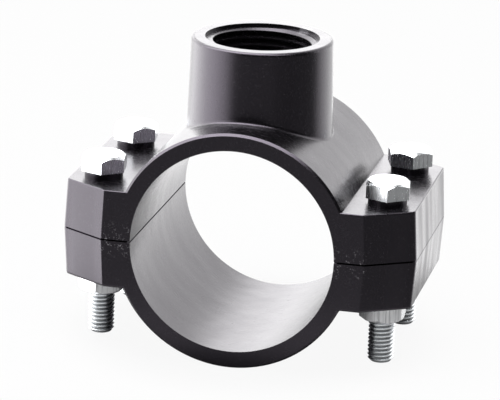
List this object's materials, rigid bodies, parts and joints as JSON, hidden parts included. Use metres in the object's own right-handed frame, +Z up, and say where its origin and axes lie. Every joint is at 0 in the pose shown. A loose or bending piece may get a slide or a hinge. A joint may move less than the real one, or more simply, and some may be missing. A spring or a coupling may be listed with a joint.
{
  "type": "tapping saddle",
  "caption": "Bolted tapping saddle for plastic pipe: two moulded half rings with lugs, a threaded outlet boss on top and a seal round its port.",
  "frame": {"origin": "on the pipe's axis, midway along the saddle", "axes": "+Y along the pipe, +Z up the outlet, +X across the lugs"},
  "size_m": [0.1098, 0.068, 0.0956],
  "materials": {
    "black_plastic": "satin black polypropylene with a fine moulded skin",
    "zinc_steel": "bright zinc plating on steel",
    "seal_rubber": "smooth black rubber"
  },
  "bodies": {
    "saddle": {"saddle_body": "black_plastic", "seal_ring": "seal_rubber"},
    "strap": {"clamp_strap": "black_plastic", "nut_front_left": "zinc_steel", "nut_front_right": "zinc_steel", "nut_rear_left": "zinc_steel", "nut_rear_right": "zinc_steel"},
    "bolt_front_left": {"bolt_front_left": "zinc_steel"},
    "bolt_front_right": {"bolt_front_right": "zinc_steel"},
    "bolt_rear_left": {"bolt_rear_left": "zinc_steel"},
    "bolt_rear_right": {"bolt_rear_right": "zinc_steel"}
  },
  "joints": [
    {"name": "bolt_front_left_turn", "type": "hinge", "parent": "saddle", "child": "bolt_front_left", "pos_m": [-0.0442, -0.0186, 0.0178], "axis": [0, 0, 1], "range_deg": [0, 2880]},
    {"name": "bolt_front_right_turn", "type": "hinge", "parent": "saddle", "child": "bolt_front_right", "pos_m": [0.0442, -0.0186, 0.0178], "axis": [0, 0, 1], "range_deg": [0, 2880]},
    {"name": "bolt_rear_left_turn", "type": "hinge", "parent": "saddle", "child": "bolt_rear_left", "pos_m": [-0.0442, 0.0186, 0.0178], "axis": [0, 0, 1], "range_deg": [0, 2880]},
    {"name": "bolt_rear_right_turn", "type": "hinge", "parent": "saddle", "child": "bolt_rear_right", "pos_m": [0.0442, 0.0186, 0.0178], "axis": [0, 0, 1], "range_deg": [0, 2880]},
    {"name": "strap_drop", "type": "slide", "parent": "saddle", "child": "strap", "axis": [0, 0, -1], "range_m": [0, 0.01]}
  ],
  "couplings": [
    {"joint": "bolt_front_left_turn", "follows": "strap_drop", "rad_per_m": 5026.5},
    {"joint": "bolt_front_right_turn", "follows": "strap_drop", "rad_per_m": 5026.5},
    {"joint": "bolt_rear_left_turn", "follows": "strap_drop", "rad_per_m": 5026.5},
    {"joint": "bolt_rear_right_turn", "follows": "strap_drop", "rad_per_m": 5026.5}
  ]
}
